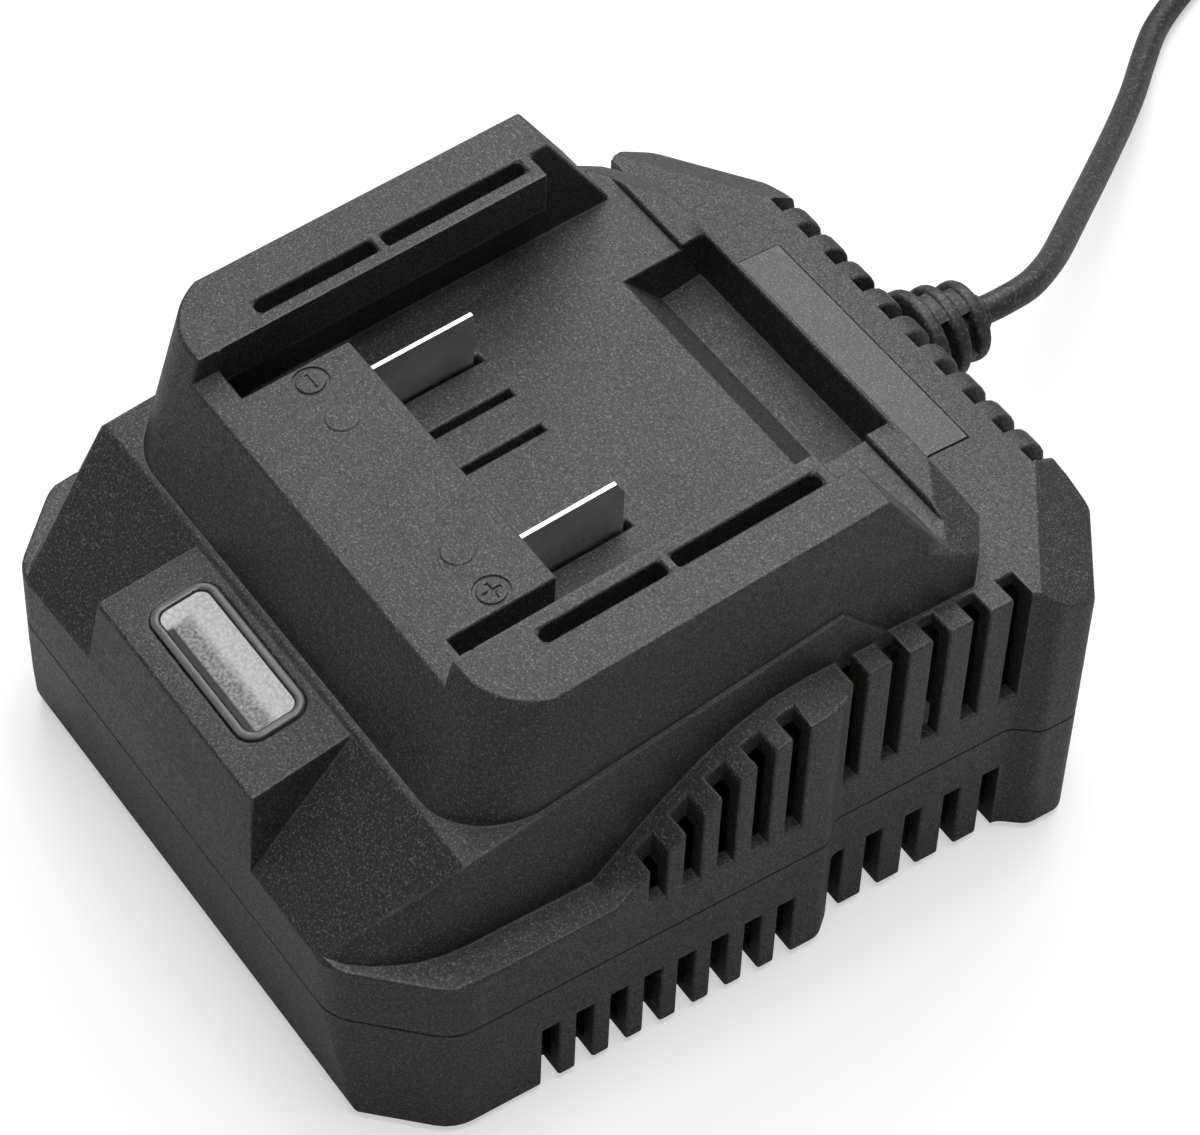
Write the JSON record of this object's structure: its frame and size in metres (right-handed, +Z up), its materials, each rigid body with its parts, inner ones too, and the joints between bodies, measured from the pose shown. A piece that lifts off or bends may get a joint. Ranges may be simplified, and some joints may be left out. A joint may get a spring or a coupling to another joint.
{
  "type": "power tool battery charger",
  "caption": "Mains charger for slide-on tool battery packs, with a tilted rail dock, bare contact blades, side vents, a status window and a coiled power lead with plug.",
  "frame": {"origin": "middle of the housing's footprint, on the surface that the rubber feet stand on", "axes": "+Z up; -Y to the front with the status window, +Y to the rear with the mains lead; +X to the right seen from the front"},
  "size_m": [0.215, 0.3111, 0.0745],
  "materials": {
    "housing_plastic": "fine spark-eroded texture, matt",
    "rubber": "matt",
    "screw_steel": "zinc plated, satin",
    "clear_lens": "clear, polished",
    "diffuser_plastic": "milky, satin",
    "led_epoxy": "clear cap over a white body",
    "circuit_board": "solder mask, satin",
    "ribbon_cable": "satin",
    "label_plastic": "smooth, semi-gloss",
    "contact_metal": "nickel plated, bright",
    "ferrite": "fired, matt",
    "copper_winding": "enamelled wire under tape",
    "component_plastic": "satin",
    "capacitor_can": "sleeved can",
    "fuse_glass": "clear tube in tinned clips",
    "chip_epoxy": "moulded epoxy",
    "sink_aluminium": "plain sheet",
    "wire_insulation": "satin",
    "cord_rubber": "satin",
    "plug_plastic": "satin"
  },
  "bodies": {
    "root": {"lower_housing": "housing_plastic", "upper_housing": "housing_plastic", "terminal_carrier": "housing_plastic", "cord_clamp": "housing_plastic", "rubber_feet": "rubber", "housing_screws": "screw_steel", "board_screws": "screw_steel", "clamp_screws": "screw_steel", "status_lens": "clear_lens", "light_diffuser": "diffuser_plastic", "status_leds": "led_epoxy", "main_board": "circuit_board", "led_board": "circuit_board", "led_ribbon": "ribbon_cable", "label_plate": "label_plastic", "negative_blade": "contact_metal", "positive_blade": "contact_metal", "plug_pins": "contact_metal", "transformer_core": "ferrite", "filter_choke": "ferrite", "transformer_winding": "copper_winding", "transformer_bobbin": "component_plastic", "filter_capacitor": "component_plastic", "input_capacitor": "capacitor_can", "output_capacitors": "capacitor_can", "mains_fuse": "fuse_glass", "bridge_rectifier": "chip_epoxy", "power_transistor": "chip_epoxy", "rectifier_diode": "chip_epoxy", "controller_chips": "chip_epoxy", "primary_heat_sink": "sink_aluminium", "secondary_heat_sink": "sink_aluminium", "output_leads": "wire_insulation", "input_leads": "wire_insulation", "inner_cord": "cord_rubber", "strain_relief": "cord_rubber", "power_cord": "cord_rubber", "cord_coil": "cord_rubber", "cord_tail": "cord_rubber", "plug_body": "plug_plastic", "cord_tie": "plug_plastic"}
  },
  "joints": []
}
